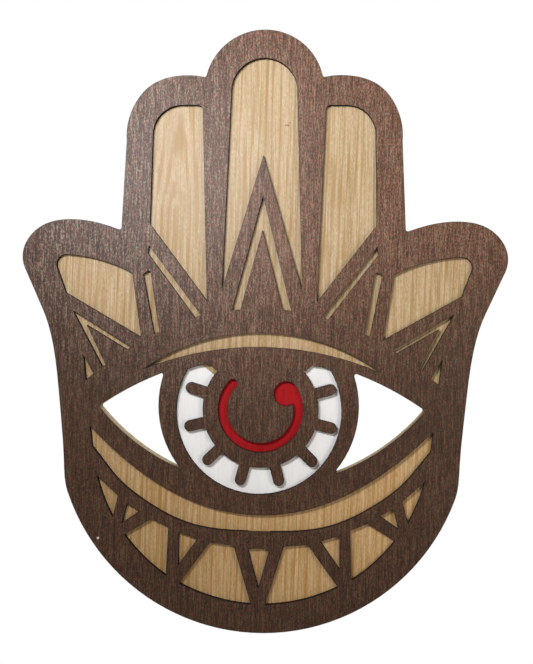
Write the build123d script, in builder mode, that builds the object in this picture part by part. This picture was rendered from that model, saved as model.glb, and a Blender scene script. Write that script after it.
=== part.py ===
"""Wall ornament in the shape of an open hand with an eye in its palm.

Three thin wood sheets are glued face to face: a dark fret in front, a light board with two
painted inlays let into it, and a plain panel at the back, which carries a sawtooth hanger and
two soft pads.  Millimetres.  X runs across the hand, Z runs up it, and the front faces -Y.
The origin is the point on the wall nail where the hanger sits.
"""

import os

from build123d import *

os.makedirs("parts", exist_ok=True)

# Driving sizes of the hand
hand_height = 300
hand_width = 241
fret_thickness = 3
board_thickness = 3
panel_thickness = 3
rim_width = 14
notch_radius = 1

# The eye
iris_radius = 41.2
iris_rim_width = 8.75
spoke_count = 8
spoke_tip_gap = 2.2
spoke_pitch = 30.5
eye_corner_radius = 1.2
eye_top_tip_radius = 1
eye_foot_tip_radius = 0.2
curl_ball_angle = 33
curl_end_angle = 137.5

# Sizes inside the iris, as shares of its radius
disc_share = 0.70
spoke_width_share = 0.134
curl_share = 0.515
curl_stroke_share = 0.112
curl_ball_share = 0.149
disc_radius = iris_radius * disc_share
spoke_width = iris_radius * spoke_width_share
curl_radius = iris_radius * curl_share
curl_stroke = iris_radius * curl_stroke_share
curl_ball_radius = iris_radius * curl_ball_share

# The inlays, which run on behind the fret's edges
inlay_overlap = 2
inlay_clearance = 0.1
ring_start_angle = 141.5
ring_outer_end_angle = 398
ring_inner_end_angle = 410

# Rounded corners of the windows beside the middle finger
window_outer_radius = 14.5
window_inner_radius = 2.5

# Hanger and its nails
hanger_drop = 50
hanger_length = 46
hanger_height = 8
hanger_gauge = 0.8
hanger_rise = 2.9
hanger_tab_length = 5.5
hanger_ramp = 2.5
hanger_hole_inset = 3
hanger_corner_radius = 2
hanger_hole_clearance = 0.3
tooth_pitch = 3
tooth_depth = 1.5
notch_share = 0.8
nail_shank_radius = 0.6
nail_head_radius = 1.4
nail_head_height = 0.6
nail_length = 5
nail_point_length = 1.2
nail_clearance = 0.05

# Soft pads, which set the gap to the wall
bumper_radius = 5
bumper_height = 3.2
bumper_edge_radius = 0.8
bumper_share = (0.25, 0.125)

# Right half of the outline, as shares of the width from the centre line and of the height
finger_joint_share = (0.121, 0.921)
finger_top_shares = [(0.174, 0.924), (0.237, 0.907), (0.274, 0.868), (0.285, 0.816)]
crotch_share = (0.294, 0.666)
thumb_shares = [(0.341, 0.678), (0.403, 0.684), (0.461, 0.673), (0.495, 0.644), (0.493, 0.596)]
palm_side_shares = [(0.457, 0.532), (0.432, 0.462), (0.419, 0.376), (0.409, 0.282), (0.400, 0.227)]

# Windows of the right half, in the same shares
middle_window_shares = [(0, 0.953), (0.068, 0.900), (0.0826, 0.570), (0, 0.792)]
side_window_shares = [(0.1138, 0.550), (0.2345, 0.677), (0.229, 0.875), (0.1275, 0.875)]
thumb_window_shares = [(0.250, 0.488), (0.270, 0.595), (0.332, 0.615), (0.405, 0.625),
                       (0.424, 0.620), (0.429, 0.604), (0.409, 0.561)]
brow_shares = [(0, 0.497), (0.244, 0.435), (0, 0.474)]
smile_upper_shares = [(0, 0.195), (0.150, 0.220), (0.237, 0.258), (0.324, 0.314), (0.355, 0.338)]
smile_lower_shares = [(0, 0.168), (0.157, 0.182), (0.234, 0.213), (0.290, 0.247), (0.350, 0.305)]

straight_window_shares = {
    "fork": [(0, 0.724), (0.061, 0.535), (0.044, 0.536), (0, 0.668)],
    "long ray": [(0.236, 0.641), (0.238, 0.628), (0.137, 0.521), (0.126, 0.526)],
    "short ray": [(0.247, 0.593), (0.236, 0.599), (0.232, 0.597), (0.212, 0.497), (0.223, 0.494)],
    "chevron": [(0.394, 0.531), (0.270, 0.471), (0.279, 0.467), (0.364, 0.507),
                (0.324, 0.441), (0.331, 0.438)],
    "wedge": [(0.371, 0.457), (0.349, 0.426), (0.365, 0.415)],
    "second tooth": [(0.275, 0.210), (0.248, 0.198), (0.286, 0.177)],
    "fourth tooth": [(0.166, 0.164), (0.127, 0.154), (0.167, 0.109)],
    "middle tooth": [(0, 0.140), (0.022, 0.139), (0, 0.075)],
}
# These teeth end on an arc that runs along the rim, from their last point to their first
rim_tooth_shares = {
    "first tooth": [(0.339, 0.256), (0.294, 0.223), (0.305, 0.187)],
    "third tooth": [(0.280, 0.158), (0.223, 0.185), (0.188, 0.173), (0.192, 0.091)],
    "fifth tooth": [(0.164, 0.079), (0.101, 0.148), (0.052, 0.144), (0.015, 0.047)],
}

# The eye's corner holes: corner, a point on each lid, and where the lids run in behind the iris
eye_corner_share = (0.338, 0.3725)
upper_lid_shares = [(0.270, 0.4055), (0.183, 0.4355)]
lower_lid_shares = [(0.262, 0.314), (0.158, 0.267)]
rim_centre_share = (-0.0045, 0.376)
eye_centre_share = (-0.004, 0.3667)
disc_centre_share = (0, 0.370)
ring_top_shares = [(0, 0.42), (0.093, 0.435), (0.105, 0.444), (0.133, 0.441), (0.152, 0.435),
                   (0.25, 0.40), (0.25, 0.60), (0, 0.60)]


# Height of the hanger's seat above the wrist
seat_height = hand_height - hanger_drop


def at(share):
    """The place on the hand's face that a pair of shares names."""
    across, up = share
    return (across * hand_width, up * hand_height - seat_height)


def draw_hand():
    """Outline of the whole hand."""
    with BuildSketch() as hand:
        with BuildLine():
            fingertip = TangentArc(at((0, 1)), at(finger_joint_share), tangent=(1, 0))
            finger_top = Spline(fingertip @ 1, *[at(share) for share in finger_top_shares])
            Line(finger_top @ 1, at(crotch_share))
            thumb = Spline(at(crotch_share), *[at(share) for share in thumb_shares])
            wrist_side = Line(thumb @ 1, at(palm_side_shares[0]))
            palm = TangentArc(at((0, 0)), at(palm_side_shares[-1]), tangent=(1, 0))
            Spline(
                wrist_side @ 1,
                *[at(share) for share in palm_side_shares[1:]],
                tangents=[wrist_side % 1, (palm % 1) * -1],
            )
            mirror(about=Plane.YZ)
        make_face()
        for share in (finger_joint_share, crotch_share):
            across, up = at(share)
            for side in (-across, across):
                fillet(hand.vertices().sort_by_distance((side, up, 0))[0], notch_radius)
    return hand.sketch


def palm_radius():
    """Radius of the arc that closes the hand at the wrist."""
    across, up = palm_side_shares[-1]
    half_chord = across * hand_width
    rise = up * hand_height
    return (half_chord**2 + rise**2) / (2 * rise)


def draw_middle_window():
    """Window of the middle finger, with a fork cut up into it from below."""
    top, shoulder, tip, fork = [at(share) for share in middle_window_shares]
    with BuildSketch() as window:
        with BuildLine():
            TangentArc(top, shoulder, tangent=(1, 0))
            Polyline(shoulder, tip, fork)
            mirror(about=Plane.YZ)
        make_face()
    return window.sketch


def draw_side_window():
    """Window of the finger beside the middle one, round at its top."""
    corners = [at(share) for share in side_window_shares]
    with BuildSketch() as window:
        with BuildLine():
            Polyline(*corners, close=True)
        make_face()
        for (across, up), radius in zip(corners[-2:], (window_outer_radius, window_inner_radius)):
            fillet(window.vertices().sort_by_distance((across, up, 0))[0], radius)
    return window.sketch


def draw_thumb_window():
    """Leaf-shaped window of the thumb."""
    tip, inner, middle, outer, shoulder, side, foot = [at(share) for share in thumb_window_shares]
    with BuildSketch() as window:
        with BuildLine():
            Line(tip, inner)
            ThreePointArc(inner, middle, outer)
            ThreePointArc(outer, shoulder, side)
            Polyline(side, foot, tip)
        make_face()
    return window.sketch


def draw_brow():
    """Crescent over the eye."""
    top, tip, under = [at(share) for share in brow_shares]
    with BuildSketch() as brow:
        with BuildLine():
            TangentArc(top, tip, tangent=(1, 0))
            TangentArc(under, tip, tangent=(1, 0))
            mirror(about=Plane.YZ)
        make_face()
    return brow.sketch


def draw_smile():
    """Band that curves under the eye."""
    upper_places = [at(share) for share in smile_upper_shares]
    lower_places = [at(share) for share in smile_lower_shares]
    with BuildSketch() as smile:
        with BuildLine():
            edges = []
            for places in (upper_places, lower_places):
                end_direction = Vector(*places[-1]) - Vector(*places[-2])
                edges.append(Spline(*places, tangents=[(1, 0), end_direction]))
            Line(edges[0] @ 1, edges[1] @ 1)
            mirror(about=Plane.YZ)
        make_face()
    return smile.sketch


def draw_straight_window(shares):
    """Window with straight sides."""
    with BuildSketch() as window:
        with BuildLine():
            Polyline(*[at(share) for share in shares], close=True)
        make_face()
    return window.sketch


def draw_rim_tooth(shares):
    """Tooth whose foot follows the rim of the palm."""
    places = [at(share) for share in shares]
    with BuildSketch() as tooth:
        with BuildLine():
            Polyline(*places)
            RadiusArc(places[0], places[-1], palm_radius() - rim_width)
        make_face()
    return tooth.sketch


def draw_eye_holes():
    """The two holes at the corners of the eye, one each side of the iris's rim."""
    corner = at(eye_corner_share)
    upper_middle, upper_end = [at(share) for share in upper_lid_shares]
    lower_middle, lower_end = [at(share) for share in lower_lid_shares]
    with BuildSketch() as holes:
        with BuildLine():
            ThreePointArc(corner, upper_middle, upper_end)
            Line(upper_end, lower_end)
            ThreePointArc(lower_end, lower_middle, corner)
        make_face()
        fillet(holes.vertices().sort_by(Axis.X)[-1], eye_corner_radius)
        mirror(about=Plane.YZ)
        across, up = at(rim_centre_share)
        with Locations((across, up)):
            Circle(iris_radius + iris_rim_width, mode=Mode.SUBTRACT)
        tips = holes.vertices().sort_by_distance((across, up, 0))[:4]
        fillet(tips.sort_by(Axis.Y)[:2], eye_foot_tip_radius)
        tips = holes.vertices().sort_by_distance((across, up, 0))[:4]
        fillet(tips.sort_by(Axis.Y)[2:], eye_top_tip_radius)
    return holes.sketch


def draw_ring_window():
    """Window of the iris ring: an annulus with rounded spokes across it, closed by the upper lid."""
    tip_radius = iris_radius - spoke_tip_gap
    first_angle = -90 - spoke_pitch * (spoke_count - 1) / 2
    with BuildSketch() as window:
        with Locations(at(eye_centre_share)):
            Circle(iris_radius)
        with Locations(at(disc_centre_share)):
            Circle(disc_radius, mode=Mode.SUBTRACT)
            with PolarLocations(
                tip_radius / 2, spoke_count, first_angle, spoke_pitch * (spoke_count - 1), endpoint=True
            ):
                SlotOverall(tip_radius, spoke_width, mode=Mode.SUBTRACT)
        with BuildLine():
            Polyline(*[at(share) for share in ring_top_shares])
            mirror(about=Plane.YZ)
        make_face(mode=Mode.SUBTRACT)
    return window.sketch


def draw_curl(overlap=0):
    """Curl in the pupil, with a round ball at its right end."""
    middle_radius = curl_radius - curl_stroke / 2
    ball_distance = curl_radius - curl_ball_radius
    with BuildSketch() as curl:
        with Locations(at(disc_centre_share)):
            sweep_angle = 360 - curl_end_angle + curl_ball_angle
            stroke = CenterArc((0, 0), middle_radius, curl_end_angle, sweep_angle)
            SlotArc(stroke, curl_stroke + 2 * overlap)
            with PolarLocations(ball_distance, 1, curl_ball_angle):
                Circle(curl_ball_radius + overlap)
    return curl.sketch


def draw_ring(clearance=0):
    """C-shaped ring that lies behind the iris window, with a slanting end below the brow."""
    outer_size = ring_outer_end_angle - ring_start_angle
    inner_size = ring_inner_end_angle - ring_start_angle
    centre = at(eye_centre_share)
    with BuildSketch() as ring:
        with BuildLine():
            outside = CenterArc(centre, iris_radius + inlay_overlap, ring_start_angle, outer_size)
            inside = CenterArc(centre, disc_radius - inlay_overlap, ring_start_angle, inner_size)
            Line(outside @ 0, inside @ 0)
            Line(outside @ 1, inside @ 1)
        make_face()
        if clearance:
            offset(amount=clearance, kind=Kind.INTERSECTION)
    return ring.sketch


def draw_windows():
    """Every window of the fret but the holes that go right through the ornament."""
    with BuildSketch() as windows:
        add(draw_middle_window())
        add(draw_brow())
        add(draw_smile())
        add(draw_ring_window())
        add(draw_curl())
        for draw in (draw_side_window, draw_thumb_window):
            both = draw()
            add(both)
            add(both.mirror(Plane.YZ))
        for shares in straight_window_shares.values():
            window = draw_straight_window(shares)
            add(window)
            add(window.mirror(Plane.YZ))
        for shares in rim_tooth_shares.values():
            tooth = draw_rim_tooth(shares)
            add(tooth)
            add(tooth.mirror(Plane.YZ))
    return windows.sketch


hand = draw_hand()
eye_holes = draw_eye_holes()
windows = draw_windows()

# Planes of the stack, from the wall forwards
wall_plane = Plane.XZ
panel_back = wall_plane.offset(bumper_height)
board_back = panel_back.offset(panel_thickness)
fret_back = board_back.offset(board_thickness)

# Places of the hanger's nails and of the pads
hanger_base = -tooth_depth
nail_across = hanger_length / 2 - hanger_hole_inset
nail_up = hanger_base + hanger_height / 2
nail_places = {"left": (-nail_across, nail_up), "right": (nail_across, nail_up)}
bumper_across, bumper_up = at(bumper_share)
bumper_places = {"left": (-bumper_across, bumper_up), "right": (bumper_across, bumper_up)}
nail_depth = nail_length - hanger_gauge
parts = []


def finish(build, name):
    """Name a finished piece and keep it."""
    build.part.label = name
    parts.append(build.part)


# Dark fret in front
with BuildPart() as front_fret:
    with BuildSketch(fret_back):
        add(hand)
        add(windows, mode=Mode.SUBTRACT)
        add(eye_holes, mode=Mode.SUBTRACT)
    extrude(amount=fret_thickness)
finish(front_fret, "front_fret")

# Light board, cut out for the inlays and pierced a little way for the hanger's nails
with BuildPart() as light_board:
    with BuildSketch(board_back):
        add(hand)
        add(eye_holes, mode=Mode.SUBTRACT)
        add(draw_ring(inlay_clearance), mode=Mode.SUBTRACT)
        add(draw_curl(inlay_overlap + inlay_clearance), mode=Mode.SUBTRACT)
    extrude(amount=board_thickness)
    with BuildSketch(board_back):
        with Locations(*nail_places.values()):
            Circle(nail_shank_radius + nail_clearance)
    extrude(amount=nail_depth - panel_thickness + nail_clearance, mode=Mode.SUBTRACT)
finish(light_board, "light_board")

# White inlay behind the iris
with BuildPart() as white_iris_ring:
    with BuildSketch(board_back):
        add(draw_ring())
    extrude(amount=board_thickness)
finish(white_iris_ring, "white_iris_ring")

# Red inlay behind the pupil
with BuildPart() as red_pupil_curl:
    with BuildSketch(board_back):
        add(draw_curl(inlay_overlap))
    extrude(amount=board_thickness)
finish(red_pupil_curl, "red_pupil_curl")

# Plain panel at the back
with BuildPart() as back_panel:
    with BuildSketch(panel_back):
        add(hand)
        add(eye_holes, mode=Mode.SUBTRACT)
        with Locations(*nail_places.values()):
            Circle(nail_shank_radius + nail_clearance, mode=Mode.SUBTRACT)
    extrude(amount=panel_thickness)
finish(back_panel, "back_panel")

# Hanger: a strip whose middle is raised off the panel, with notches along its lower edge
tab_back = -bumper_height
raised_back = tab_back + hanger_rise
raised_end = hanger_length / 2 - hanger_tab_length - hanger_ramp
notch_half = tooth_pitch * notch_share / 2
notch_count = 2 * int(raised_end / tooth_pitch) - 1
with BuildPart() as sawtooth_hanger:
    with BuildSketch(Plane.XY.offset(hanger_base)):
        with BuildLine():
            Polyline(
                (0, raised_back),
                (raised_end, raised_back),
                (raised_end + hanger_ramp, tab_back + hanger_gauge),
                (hanger_length / 2, tab_back + hanger_gauge),
                (hanger_length / 2, tab_back),
                (raised_end + hanger_ramp - hanger_gauge / 2, tab_back),
                (raised_end - hanger_gauge / 2, raised_back - hanger_gauge),
                (0, raised_back - hanger_gauge),
            )
            mirror(about=Plane.YZ)
        make_face()
    extrude(amount=hanger_height)
    corner_edges = sawtooth_hanger.edges().filter_by(Axis.Y).group_by(Axis.X)
    fillet(corner_edges[0] + corner_edges[-1], hanger_corner_radius)
    with BuildSketch(wall_plane):
        with GridLocations(tooth_pitch, 0, notch_count, 1):
            Polygon((-notch_half, hanger_base), (notch_half, hanger_base), (0, 0), align=None)
    extrude(amount=bumper_height, mode=Mode.SUBTRACT)
    with BuildSketch(panel_back):
        with Locations(*nail_places.values()):
            Circle(nail_shank_radius + hanger_hole_clearance)
    extrude(amount=-hanger_gauge, mode=Mode.SUBTRACT)
finish(sawtooth_hanger, "sawtooth_hanger")

# Nails that hold the hanger, each with a low domed head and a point
for side, (across, up) in nail_places.items():
    head_seat = Plane((across, hanger_gauge - bumper_height, up))
    with BuildPart() as hanger_nail:
        with BuildSketch(head_seat):
            with BuildLine():
                Polyline(
                    (0, nail_head_height),
                    (0, -nail_length),
                    (nail_shank_radius, nail_point_length - nail_length),
                    (nail_shank_radius, 0),
                    (nail_head_radius, 0),
                )
                TangentArc((0, nail_head_height), (nail_head_radius, 0), tangent=(1, 0))
            make_face()
        revolve(axis=Axis(head_seat.origin, head_seat.y_dir))
    finish(hanger_nail, f"{side}_hanger_nail")

# Soft pads against the wall
for side, place in bumper_places.items():
    with BuildPart() as bumper:
        with BuildSketch(panel_back):
            with Locations(place):
                Circle(bumper_radius)
        extrude(amount=-bumper_height)
        fillet(bumper.edges().group_by(Axis.Y)[-1], bumper_edge_radius)
    finish(bumper, f"{side}_bumper")

for piece in parts:
    export_step(piece, f"parts/{piece.label}.step")
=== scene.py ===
# %% [markdown]
# # A wall ornament in the shape of an open hand
#
# The real object is a stack of thin wood sheets.  A dark fret lies in front, a light board shows
# through its windows, and two painted inlays make the eye.  The sheets could be modelled again
# in this lesson, but then two sets of shapes could drift apart.  So the solids come from the
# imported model, and the lesson gives them their finishes, their light and their camera.

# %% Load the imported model
import math

import bpy
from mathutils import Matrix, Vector

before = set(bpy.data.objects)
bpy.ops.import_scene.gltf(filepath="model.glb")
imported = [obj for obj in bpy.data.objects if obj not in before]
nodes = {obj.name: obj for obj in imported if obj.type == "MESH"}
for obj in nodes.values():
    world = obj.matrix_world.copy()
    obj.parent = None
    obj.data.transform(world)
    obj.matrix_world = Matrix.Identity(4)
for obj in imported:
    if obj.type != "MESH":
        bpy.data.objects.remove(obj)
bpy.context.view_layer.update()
print("pieces:", ", ".join(sorted(nodes)))

# %% [markdown]
# ## Colours and lengths
#
# Colours are easiest to choose as they look on a screen, from 0 to 255.  The shaders want them
# in linear light, so one small function turns the first into the second.  Lengths on the object
# are easiest in millimetres, and the model is in metres.

# %% Colour and length helpers
MILLIMETRE = 0.001


def linear(level):
    """Linear light of one screen level."""
    level = level / 255
    return level / 12.92 if level <= 0.04045 else ((level + 0.055) / 1.055) ** 2.4


def colour(red, green, blue):
    """A shader colour from three screen levels."""
    return (linear(red), linear(green), linear(blue), 1.0)


print("middle grey in linear light:", round(linear(128), 3))

# %% [markdown]
# ## Shader maths as plain expressions
#
# A finish is a web of nodes.  Written one node at a time it is hard to read, so a `Wire` stands
# for one output socket, and `+`, `-`, `*` and `/` on wires add the Math nodes.


# %% Wire
class Wire:
    """One output socket, on which arithmetic adds Math nodes."""

    def __init__(self, sheet, socket):
        self.sheet = sheet
        self.socket = socket

    def __add__(self, other):
        return self.sheet.math("ADD", self, other)

    def __radd__(self, other):
        return self.sheet.math("ADD", other, self)

    def __sub__(self, other):
        return self.sheet.math("SUBTRACT", self, other)

    def __rsub__(self, other):
        return self.sheet.math("SUBTRACT", other, self)

    def __mul__(self, other):
        return self.sheet.math("MULTIPLY", self, other)

    def __rmul__(self, other):
        return self.sheet.math("MULTIPLY", other, self)

    def __truediv__(self, other):
        return self.sheet.math("DIVIDE", self, other)

    def __rtruediv__(self, other):
        return self.sheet.math("DIVIDE", other, self)


print("a wire adds Math nodes for + - * and /")

# %% [markdown]
# ## Every other node
#
# All other nodes come from one method, `add`.  It takes the node's type, then its settings, then
# its sockets, which hold either a fixed value or a wire.  The settings come first, because some
# of them change which sockets the node has.


# %% Node sheet
class NodeSheet:
    """The node tree of one material or of the world."""

    def __init__(self, tree):
        self.tree = tree
        tree.nodes.clear()

    def math(self, operation, *values):
        """A Math node on wires and numbers."""
        return self.add("ShaderNodeMath", {"operation": operation}, dict(enumerate(values)))

    def add(self, kind, settings=None, sockets=None, out=0):
        """Add a node: its settings first, then the values and links of its sockets."""
        node = self.tree.nodes.new(kind)
        for name, value in (settings or {}).items():
            if name == "stops":
                ramp = node.color_ramp.elements
                while len(ramp) < len(value):
                    ramp.new(1.0)
                for element, (place, tint) in zip(ramp, value):
                    element.position = place
                    element.color = tint
            else:
                setattr(node, name, value)
        for name, value in (sockets or {}).items():
            if isinstance(value, Wire):
                self.tree.links.new(value.socket, node.inputs[name])
            else:
                node.inputs[name].default_value = value
        return Wire(self, node.outputs[out]) if len(node.outputs) else None


print("node sheets are ready")

# %% [markdown]
# ## What all finishes share
#
# Wood, paint and steel are made here from noise that is stretched along the grain, so `noise`
# takes the size of its cells in millimetres.  `limits` turns a value into a soft mask, `ramp`
# turns it into a colour, and `mix` lays one colour over another.  All of it follows the place on
# the object, so it stays put when the camera or the light moves.


# %% Finish
class Finish(NodeSheet):
    """A material, with the few patterns that the pieces of the ornament share."""

    def __init__(self, name):
        self.material = bpy.data.materials.new(name)
        self.material.use_nodes = True
        super().__init__(self.material.node_tree)
        self.place = self.add("ShaderNodeTexCoord", out="Object")

    def part(self, axis):
        """Millimetres along one axis."""
        return self.add("ShaderNodeSeparateXYZ", {}, {0: self.place}, out=axis) / MILLIMETRE

    def noise(self, across, through, along, detail=2.0, roughness=0.5):
        """Noise whose cells have the given size in millimetres."""
        cells = [1 / (size * MILLIMETRE) for size in (across, through, along)]
        settings = {"operation": "MULTIPLY"}
        place = self.add("ShaderNodeVectorMath", settings, {0: self.place, 1: cells})
        sockets = {"Vector": place, "Scale": 1.0, "Detail": detail, "Roughness": roughness}
        return self.add("ShaderNodeTexNoise", {}, sockets, out="Fac")

    def limits(self, value, low, high):
        """Smooth step from 0 at low to 1 at high."""
        settings = {"interpolation_type": "SMOOTHSTEP"}
        return self.add("ShaderNodeMapRange", settings, {"Value": value, 1: low, 2: high})

    def ramp(self, value, *stops):
        """A colour for each value."""
        return self.add("ShaderNodeValToRGB", {"stops": stops}, {"Fac": value})

    def mix(self, mask, first, second, blend="MIX"):
        """The first colour where the mask is 0 and the second where it is 1."""
        settings = {"data_type": "RGBA", "blend_type": blend}
        return self.add("ShaderNodeMix", settings, {0: mask, 6: first, 7: second}, out=2)

    def bump(self, height, millimetres):
        """A normal from a height that runs from 0 to 1."""
        sockets = {"Height": height, "Distance": millimetres * MILLIMETRE, "Strength": 1.0}
        return self.add("ShaderNodeBump", {}, sockets)

    def facing(self, axis):
        """How far the surface faces along an axis, from -1 to 1."""
        normal = self.add("ShaderNodeNewGeometry", out="True Normal")
        return self.add("ShaderNodeSeparateXYZ", {}, {0: normal}, out=axis)

    def surface(self, **sockets):
        """End the finish in a Principled shader, whose sockets are named with low lines."""
        named = {name.replace("_", " "): value for name, value in sockets.items()}
        shader = self.add("ShaderNodeBsdfPrincipled", {}, named)
        self.add("ShaderNodeOutputMaterial", {}, {"Surface": shader})
        return self.material


print("finishes are ready")

# %% [markdown]
# ## Small marks, and painted shade at sharp edges
#
# The real piece has a chip in its rim and a nick in its light board.  Each is a ragged round
# spot at its own place, which needs no picture.  A thin dark line of painted shade also runs
# along the fret's sharp edges, for the dark line that the walls and their shadows make at the
# windows.  An Ambient Occlusion node that looks inwards finds those edges: close to a sharp edge,
# few of its rays stay inside the solid.


# %% Spots and rims
def spot(finish, x, z, radius):
    """A ragged round mark on the face, at millimetres across and up."""
    across = finish.part("X") - x
    up = finish.part("Z") - z
    distance = finish.math("SQRT", across * across + up * up)
    ragged = distance + (finish.noise(0.8, 0.8, 0.8) - 0.5) * radius
    return 1 - finish.limits(ragged, radius * 0.6, radius)


def painted_edge_shade(finish, millimetres):
    """Painted-shade mask: 1 at the sharp edges of the solid, fading to 0 at about the given
    millimetres.
    """
    settings = {"inside": True, "only_local": True, "samples": 8}
    sockets = {"Distance": millimetres * MILLIMETRE}
    open_share = finish.add("ShaderNodeAmbientOcclusion", settings, sockets, out=1)
    return 1 - finish.limits(open_share, 0.5, 0.9)


print("spots and rims are ready")

# %% [markdown]
# ## Cut walls
#
# A laser cut every window, and its heat burnt the walls of the fret nearly black.  The eye's
# corner holes were cut through the whole stack and stayed tan, with a darker glue line in the
# middle of each sheet.  The walls could get a material of their own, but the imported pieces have
# one each, so a mask finds the walls by the way they face.  A second mask finds the corner holes
# by their place: outside the iris, between the lids.

# %% Cut walls
SHEET_THICKNESS = 3.0
FRET_FACE = -12.2
BOARD_FACE = FRET_FACE + SHEET_THICKNESS
PANEL_FACE = BOARD_FACE + SHEET_THICKNESS
IRIS_X = -1.1
IRIS_Z = -137.2
IRIS_OUTER_RADIUS = 46.0


def cut_ply(finish, front):
    """Cut wall of a three-ply sheet whose face lies at the given millimetres."""
    depth = (finish.part("Y") - front) / SHEET_THICKNESS
    glue = 1 - finish.limits(finish.math("ABSOLUTE", depth - 0.5), 0.0, 0.22)
    char = finish.noise(0.8, 9.0, 0.8, 2.0, 0.6)
    pale = finish.ramp(char, (0.3, colour(134, 113, 74)), (0.7, colour(180, 157, 114)))
    return finish.mix(glue * 0.5, pale, colour(112, 90, 58))


def eye_corner(finish, x, z):
    """1 on the walls of the eye's corner holes and 0 on every other wall."""
    away = finish.math("ABSOLUTE", x)
    across, up = x - IRIS_X, z - IRIS_Z
    from_iris = finish.math("SQRT", across * across + up * up)
    outside = finish.math("GREATER_THAN", from_iris, IRIS_OUTER_RADIUS)
    inside_corner = finish.math("LESS_THAN", away, 82.7)
    below_brow = finish.math("LESS_THAN", z, -120.5)
    above_smile = finish.math("GREATER_THAN", z, away * 0.726 - 203.5)
    return outside * inside_corner * below_brow * above_smile


def fret_walls(wood, x, z):
    """Burnt walls, and tan ones under a dark veneer in the eye's corner holes."""
    soot = wood.noise(0.7, 8.0, 0.7)
    burnt = wood.ramp(soot, (0.3, colour(12, 8, 6)), (0.7, colour(30, 21, 16)))
    veneer = 1 - wood.limits(wood.part("Y"), -11.6, -10.9)
    bare = wood.mix(veneer, cut_ply(wood, FRET_FACE), colour(66, 46, 32))
    return wood.mix(eye_corner(wood, x, z), burnt, bare)


print("faces in mm:", FRET_FACE, round(BOARD_FACE, 1), round(PANEL_FACE, 1))

# %% [markdown]
# ## The stain of the fret, and painted light on it
#
# The fret is stained open-pored wood.  Its colour is darkest in the palm and lighter towards the
# fingers, partly from the stain and partly as painted light for the lamp's falloff down the hand.
# On the left fingers a painted sheen over the stain turns it to a cool grey with much contrast,
# and on the right ones it is warmer and more even.  One ramp could not hold all three, so there
# is a ramp for each, and two wide masks blend them over the hand.  A pair of tints then changes
# from fibre to fibre between a red and a green cast.


# %% Dark stain
def three_tones(wood, tone, deep, middle, pale):
    """A ramp through three screen colours."""
    stops = zip((0.0, 0.5, 1.0), (colour(*deep), colour(*middle), colour(*pale)))
    return wood.ramp(tone, *stops)


def dark_stain_and_painted_light(wood, tone, x, z):
    """Stain of the palm and the fingers, with painted shade low on the hand and a painted sheen
    on the left fingers.
    """
    palm = three_tones(wood, tone, (38, 22, 14), (66, 42, 29), (96, 71, 54))
    right = three_tones(wood, tone, (64, 38, 28), (105, 73, 57), (146, 114, 97))
    left = three_tones(wood, tone, (34, 20, 15), (87, 62, 52), (164, 142, 132))
    # Painted light: these masks make the palm darker and the upper left paler and greyer, a
    # painted shade low on the hand and a painted sheen on the left fingers.
    painted_sheen_side = 1 - wood.limits(x, -110.0, 40.0)
    painted_light_rise = wood.limits(z - wood.math("ABSOLUTE", x) * 0.3, -175.0, -45.0)
    stain_and_painted_light = wood.mix(painted_light_rise, palm, wood.mix(painted_sheen_side, right, left))
    tint = wood.noise(1.1, 2.0, 1.8, 2.0, 0.6)
    red_cast, green_cast = (1.24, 0.90, 0.92, 1.0), (0.80, 1.10, 0.92, 1.0)
    return wood.mix(1.0, stain_and_painted_light, wood.ramp(tint, (0.34, red_cast), (0.66, green_cast)), "MULTIPLY")


print("stain of the fret is ready")

# %% [markdown]
# ## The dark fret
#
# Short flecks, long fibres and slow streaks together set how light the stain is.  They come from
# three stretched noises, because real grain has all three lengths.  Pores and a thin line of
# painted shade along the sharp edges lie over the stain, and the walls replace it where the
# surface turns away from the front.


# %% Dark stained wood
def dark_wood():
    wood = Finish("dark stained wood")
    x, z = wood.part("X"), wood.part("Z")
    fleck = wood.noise(0.55, 1.0, 1.1, 2.0, 0.6)
    fibre = wood.noise(0.55, 2.0, 8.0, 2.0, 0.6)
    streak = wood.noise(1.8, 6.0, 40.0, 2.0, 0.6)
    pore = wood.limits(wood.noise(0.5, 1.0, 3.0, 1.0, 0.5), 0.62, 0.74)
    tone = 0.5 + (fleck - 0.5) * 2.0 + (fibre - 0.5) * 1.9 + (streak - 0.5) * 0.9
    # The stain already holds painted shade low on the hand and a painted sheen on the left
    # fingers.
    stain_and_painted_light = wood.mix(pore * 0.5, dark_stain_and_painted_light(wood, tone, x, z), colour(26, 16, 12))
    stain_and_painted_light = wood.mix(spot(wood, -80.7, -204.6, 0.75), stain_and_painted_light, colour(214, 196, 186))
    # Painted shade: a thin dark line along every sharp edge of the fret.
    stain_and_painted_light = wood.mix(painted_edge_shade(wood, 0.6) * 0.8, stain_and_painted_light, colour(20, 14, 11))
    wall = wood.limits(wood.facing("Y"), -0.7, -0.4)
    return wood.surface(
        Base_Color=wood.mix(wall, stain_and_painted_light, fret_walls(wood, x, z)),
        Roughness=0.41 + (fibre - 0.5) * 0.2 + wall * 0.5,
        Specular_IOR_Level=0.17,
        Normal=wood.bump(fleck * 0.4 + fibre * 0.6 - pore * 0.6, 0.03),
    )


nodes["front_fret"].material_slots[0].material = dark_wood()
print("dark wood on the fret")

# %% [markdown]
# ## Growth lines of the light board
#
# The board behind the windows was cut near the heart of the tree.  Its broad ochre lines stand
# upright and close into narrow arches behind the left finger.  They could be drawn one by one,
# but all of them follow one rule: each lies at one value of `radius`, which grows with the
# distance from the heart line and, above the foot of the arches, with the height.  The cosine of
# that value makes the lines.  Thinner, irregular lines come from a noise stretched very long.

# %% Growth lines
HEART_X = -42.3
HEART_Z = -6.4
HEART_LEAN = 0.044
ARCH_FOOT = -39.0
LINE_PITCH = 3.4


def heart_distance(wood, x, z):
    """Millimetres to the side of the heart line, which sways a little."""
    sway = (wood.noise(20.0, 20.0, 160.0) - 0.5) * 5.0
    return x - HEART_X - (z - HEART_Z) * HEART_LEAN + sway


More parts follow.
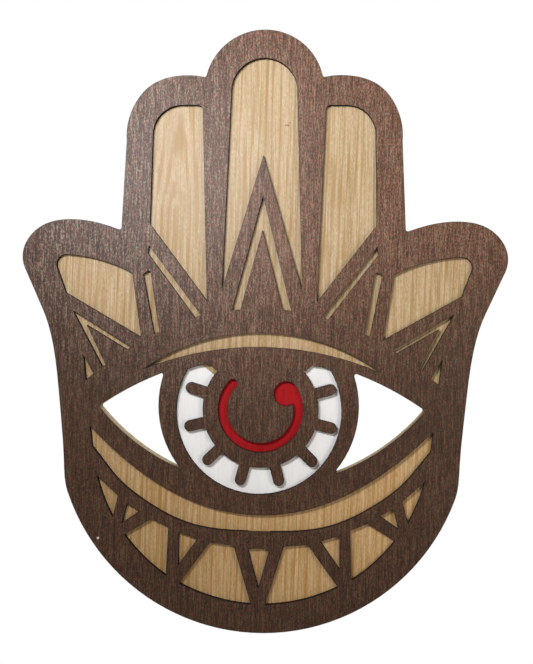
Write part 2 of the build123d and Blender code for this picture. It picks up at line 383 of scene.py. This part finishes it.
def growth_lines(wood, from_heart, z):
    """How strong the broad ochre lines are."""
    waver = (wood.noise(3.2, 10.0, 150.0, 2.0, 0.6) - 0.5) * 5.0
    drop = wood.math("MAXIMUM", z - ARCH_FOOT, 0.0) * 1.5
    radius = wood.math("SQRT", from_heart * from_heart + drop) + waver
    ring = wood.math("COSINE", (radius - 7.0) * (2 * math.pi / LINE_PITCH))
    near = 1 - wood.limits(wood.math("ABSOLUTE", from_heart), 6.0, 14.0)
    strength = wood.limits(wood.noise(3.0, 10.0, 90.0), 0.32, 0.62)
    return wood.limits(ring + near * 0.6, 0.35, 1.0) * (0.2 + strength * 0.8)


print("growth lines every", LINE_PITCH, "mm")

# %% [markdown]
# ## Marks of the light board, and painted shade on it
#
# Above the arches the heart shows as one brown plume, and the middle window has a small nick of
# three spots.  Low on the board, painted shade makes the wood warmer and darker on the left, and
# painted light makes it lighter on the right.  All of these lie at known places, so masks of
# place are enough for them.


# %% Marks of the board
def board_marks_and_painted_shade(wood, board, from_heart, x, z):
    """Plume, nick, and painted shade and light low on the board, laid over the board's colour."""
    height = wood.limits(z, -14.0, -6.0) * (1 - wood.limits(z, 2.0, 13.0))
    plume = (1 - wood.limits(wood.math("ABSOLUTE", from_heart), 0.5, 3.2)) * height
    board = wood.mix(plume * 0.7, board, colour(156, 118, 64))
    # Painted light and shade: low on the board the colour turns warmer, darker on the left and
    # lighter on the right.
    painted_shade_low = 1 - wood.limits(z, -200.0, -60.0)
    left_painted_shade, right_painted_light = (0.94, 0.84, 0.71, 1.0), (1.20, 1.08, 0.91, 1.0)
    tint = wood.mix(wood.limits(x, -90.0, 90.0), left_painted_shade, right_painted_light)
    board = wood.mix(painted_shade_low, board, tint, "MULTIPLY")
    nick = wood.math("MAXIMUM", spot(wood, 10.9, 2.9, 0.7), spot(wood, 12.0, 3.0, 0.7))
    nick = wood.math("MAXIMUM", nick, spot(wood, 12.9, 4.2, 0.55))
    return wood.mix(nick * 0.7, board, colour(112, 66, 48))


print("marks of the board are ready")

# %% [markdown]
# ## The light board
#
# The board is pale wood under a clear satin coat.  Fibres and flecks set its tone, as on the
# fret, but with less contrast, and its casts are weaker.  The coat is thin enough for the grain
# to be felt, so the fibres also feed the roughness and a very low bump.


# %% Light clear-coated wood
def light_wood():
    wood = Finish("light coated wood")
    x, z = wood.part("X"), wood.part("Z")
    from_heart = heart_distance(wood, x, z)
    line = growth_lines(wood, from_heart, z)
    thin = wood.limits(wood.noise(0.8, 10.0, 110.0, 2.0, 0.6), 0.52, 0.72)
    fibre = wood.noise(0.55, 2.0, 22.0, 2.0, 0.6)
    fleck = wood.noise(0.5, 1.0, 1.6, 2.0, 0.6)
    band = wood.noise(8.0, 12.0, 120.0)
    tone = 0.6 + (fibre - 0.5) * 1.6 + (fleck - 0.5) * 1.2 + (band - 0.5) * 0.3
    board = three_tones(wood, tone, (144, 112, 72), (178, 148, 108), (202, 180, 150))
    board = wood.mix(line * 0.8 + thin * 0.4, board, colour(160, 122, 64))
    cast = wood.noise(0.9, 3.0, 12.0, 2.0, 0.6)
    casts = wood.ramp(cast, (0.34, (1.05, 0.97, 1.02, 1.0)), (0.66, (0.96, 1.02, 0.93, 1.0)))
    board = wood.mix(1.0, board, casts, "MULTIPLY")
    board = board_marks_and_painted_shade(wood, board, from_heart, x, z)
    wall = wood.limits(wood.facing("Y"), -0.7, -0.4)
    return wood.surface(
        Base_Color=wood.mix(wall, board, cut_ply(wood, BOARD_FACE)),
        Roughness=0.41 + (fibre - 0.5) * 0.2 + wall * 0.4,
        Specular_IOR_Level=0.26,
        Normal=wood.bump(fibre - line * 0.3, 0.02),
    )


nodes["light_board"].material_slots[0].material = light_wood()
print("light wood on the board")

# %% [markdown]
# ## The painted inlays
#
# The ring is white and the curl is red.  Both are matt paint on wood, thin enough that the grain
# still shows as faint upright ridges.  A flat colour would look like plastic, so the paint gets a
# little tone, roughness and bump from the same kind of fibre.


# %% Paint
def paint(name, pale, deep):
    coat = Finish(name)
    fibre = coat.noise(0.7, 2.0, 14.0, 3.0, 0.6)
    cloud = coat.noise(12.0, 12.0, 16.0)
    tone = 0.5 + (fibre - 0.5) * 1.2 + (cloud - 0.5) * 0.8
    return coat.surface(
        Base_Color=coat.ramp(tone, (0.2, deep), (0.8, pale)),
        Roughness=0.55 + (fibre - 0.5) * 0.3,
        Specular_IOR_Level=0.12,
        Normal=coat.bump(fibre, 0.02),
    )


white_paint = paint("white paint", colour(249, 245, 242), colour(238, 233, 230))
red_paint = paint("red paint", colour(184, 17, 24), colour(146, 8, 14))
nodes["white_iris_ring"].material_slots[0].material = white_paint
nodes["red_pupil_curl"].material_slots[0].material = red_paint
print("paint on the inlays")

# %% [markdown]
# ## The back panel
#
# The back is plain sanded plywood: paler, flatter in its grain and duller than the face, with
# the same cut walls.  Its wide figure is a sine across the sheet, bent by a slow noise.


# %% Plain plywood
def back_wood():
    wood = Finish("plain plywood")
    sway = (wood.noise(60.0, 60.0, 300.0) - 0.5) * 46.0
    figure = wood.math("SINE", (wood.part("X") + sway) * (2 * math.pi / 8.0))
    fibre = wood.noise(0.6, 2.0, 18.0, 3.0, 0.6)
    fleck = wood.limits(wood.noise(0.7, 1.0, 3.0, 1.0, 0.5), 0.66, 0.76)
    cloud = wood.noise(30.0, 30.0, 90.0)
    tone = 0.55 + figure * 0.09 + (fibre - 0.5) * 0.6 + (cloud - 0.5) * 0.4
    deep, middle, pale = colour(176, 142, 100), colour(206, 176, 134), colour(226, 202, 166)
    face = wood.ramp(tone, (0.1, deep), (0.5, middle), (0.9, pale))
    face = wood.mix(fleck * 0.3, face, colour(150, 114, 76))
    wall = 1 - wood.limits(wood.facing("Y"), 0.4, 0.7)
    return wood.surface(
        Base_Color=wood.mix(wall, face, cut_ply(wood, PANEL_FACE)),
        Roughness=0.62 + (fibre - 0.5) * 0.25 + wall * 0.2,
        Specular_IOR_Level=0.2,
        Normal=wood.bump(fibre, 0.04),
    )


nodes["back_panel"].material_slots[0].material = back_wood()
print("plywood on the back panel")

# %% [markdown]
# ## Hanger and nails
#
# The hanger is pressed from zinc-plated strip, which is dull and finely scratched along its
# length.  The nails are a little brighter and smoother.  Clean metal only mirrors its
# surroundings, so noise varies its colour and roughness, and gives it faint scratches.


# %% Steel
def steel(name, pale, deep, roughness, scratch):
    metal = Finish(name)
    brushed = metal.noise(9.0, 0.25, 0.25, 3.0, 0.6)
    cloud = metal.noise(4.0, 4.0, 4.0, 3.0, 0.6)
    return metal.surface(
        Base_Color=metal.ramp(cloud, (0.3, deep), (0.7, pale)),
        Metallic=1.0,
        Roughness=roughness + (brushed - 0.5) * 0.3 + (cloud - 0.5) * 0.2,
        Normal=metal.bump(brushed, scratch),
    )


hanger_steel = steel("plated steel", colour(164, 161, 153), colour(130, 127, 120), 0.36, 0.01)
nail_steel = steel("bright steel", colour(176, 174, 170), colour(148, 146, 142), 0.28, 0.005)
nodes["sawtooth_hanger"].material_slots[0].material = hanger_steel
for side in ("left", "right"):
    nodes[f"{side}_hanger_nail"].material_slots[0].material = nail_steel
print("steel on the hanger and its nails")

# %% [markdown]
# ## Pads
#
# Two soft dark pads keep the foot of the ornament off the wall.  Rubber is dull all over, and a
# fine speckle keeps it from looking like a hole in the picture.


# %% Rubber
def rubber():
    soft = Finish("soft rubber")
    speckle = soft.noise(0.5, 0.5, 0.5, 2.0, 0.6)
    return soft.surface(
        Base_Color=soft.ramp(speckle, (0.3, colour(52, 52, 54)), (0.7, colour(76, 76, 78))),
        Roughness=0.62 + (speckle - 0.5) * 0.3,
        Normal=soft.bump(speckle, 0.03),
    )


pad_rubber = rubber()
for side in ("left", "right"):
    nodes[f"{side}_bumper"].material_slots[0].material = pad_rubber
print("rubber on the pads")

# %% [markdown]
# ## Camera
#
# The lens stands half a metre in front of the face, a little to the right of the middle, and
# looks almost square at it.  It leans by under a degree.  Its focal length was measured in
# pixels of the picture's height, and a sensor width turns that into millimetres.

# %% Camera
FRAME_HEIGHT = 664
FOCAL_PIXELS = 1006
camera_data = bpy.data.cameras.new("camera")
camera_data.sensor_width = 36.0
camera_data.lens = camera_data.sensor_width * FOCAL_PIXELS / FRAME_HEIGHT
camera_data.clip_start = 0.01
camera_data.clip_end = 50.0
camera = bpy.data.objects.new("camera", camera_data)
camera.location = (0.0299, -0.5113, -0.1003)
camera.rotation_euler = [math.radians(angle) for angle in (90.0, -0.72, 3.13)]
bpy.context.scene.collection.objects.link(camera)
bpy.context.scene.camera = camera
print("lens:", round(camera_data.lens, 2), "mm")

# %% [markdown]
# ## Lamps
#
# The fingers are bright, the palm is darker, and the fret throws short soft shadows down and to
# the right on the board.  One small softbox near the upper left, aimed above the fingertips,
# gives all of that, and it is slightly cool.  A weaker, warmer one on the right opens the
# shadows, and one behind the ornament is for views of its back.


# %% Softboxes
def softbox(name, place, aim, width, height, power, tint=(1.0, 1.0, 1.0)):
    lamp = bpy.data.lights.new(name, "AREA")
    lamp.shape = "RECTANGLE"
    lamp.size = width
    lamp.size_y = height
    lamp.energy = power
    lamp.color = tint
    box = bpy.data.objects.new(name, lamp)
    box.location = place
    box.rotation_euler = (Vector(aim) - Vector(place)).to_track_quat("-Z", "Y").to_euler()
    bpy.context.scene.collection.objects.link(box)


softbox("key", (-0.11, -0.42, 0.05), (0.0, 0.0, 0.29), 0.14, 0.10, 2.36, (0.96, 1.0, 1.04))
softbox("fill", (0.31, -0.43, -0.14), (0.07, 0.0, -0.25), 0.16, 0.16, 0.6, (1.06, 1.0, 0.88))
softbox("back", (0.3, 1.4, 0.7), (0.0, 0.0, -0.1), 1.0, 1.0, 25.0)
print("softboxes:", len(bpy.data.lights))

# %% [markdown]
# ## World
#
# The world adds a low even light from all sides.  The picture needs a white background, and more
# light would wash out the wood, so Light Path tells the rays apart: those from the camera, and
# those that a glossy or clear surface sends on, meet white, and all others the low light.

# %% World
EVEN_LIGHT = 0.18


def seen_directly(sheet):
    """1 on rays from the camera and on those that a glossy or clear surface sends on."""
    camera_ray = sheet.add("ShaderNodeLightPath", out="Is Camera Ray")
    glossy_ray = sheet.add("ShaderNodeLightPath", out="Is Glossy Ray")
    glass_ray = sheet.add("ShaderNodeLightPath", out="Is Transmission Ray")
    return sheet.math("MAXIMUM", sheet.math("MAXIMUM", camera_ray, glossy_ray), glass_ray)


world = bpy.data.worlds.new("studio")
world.use_nodes = True
bpy.context.scene.world = world
studio = NodeSheet(world.node_tree)
even = studio.add("ShaderNodeBackground", {}, {"Color": (1, 1, 1, 1), "Strength": EVEN_LIGHT})
white = studio.add("ShaderNodeBackground", {}, {"Color": (1, 1, 1, 1), "Strength": 1.0})
sky = studio.add("ShaderNodeMixShader", {}, {0: seen_directly(studio), 1: even, 2: white})
studio.add("ShaderNodeOutputWorld", {}, {"Surface": sky})
print("even light:", EVEN_LIGHT)

# %% [markdown]
# ## Floor
#
# The ornament hangs on a wall, so the floor lies well below it and shows only from above.  The
# even light is low, and a matt floor would look grey in it.  More light would change the wood
# too, so the same rays that meet a white world mostly meet a white glow on the floor.

# %% Floor
FLOOR_HALF = 3.0
FLOOR_Z = -1.3
GLOW_SHARE = 0.8
floor_mesh = bpy.data.meshes.new("floor")
signs = [(-1, -1), (1, -1), (1, 1), (-1, 1)]
corners = [(x * FLOOR_HALF, y * FLOOR_HALF, FLOOR_Z) for x, y in signs]
floor_mesh.from_pydata(corners, [], [(0, 1, 2, 3)])
floor = bpy.data.objects.new("floor", floor_mesh)
bpy.context.scene.collection.objects.link(floor)
pale_floor = Finish("pale floor")
board_white = {"Base Color": (0.85, 0.85, 0.85, 1), "Roughness": 0.7}
matt = pale_floor.add("ShaderNodeBsdfPrincipled", {}, board_white)
glow = pale_floor.add("ShaderNodeEmission", {}, {"Color": (1, 1, 1, 1), "Strength": 1.0})
share = seen_directly(pale_floor) * GLOW_SHARE
pale = pale_floor.add("ShaderNodeMixShader", {}, {0: share, 1: matt, 2: glow})
pale_floor.add("ShaderNodeOutputMaterial", {}, {"Surface": pale})
floor_mesh.materials.append(pale_floor.material)
print("floor at", FLOOR_Z, "m")

# %% [markdown]
# ## Finish
#
# The view transform stays plain, so that colours come out as they were chosen.

# %% View transform
bpy.context.scene.view_settings.view_transform = "Standard"
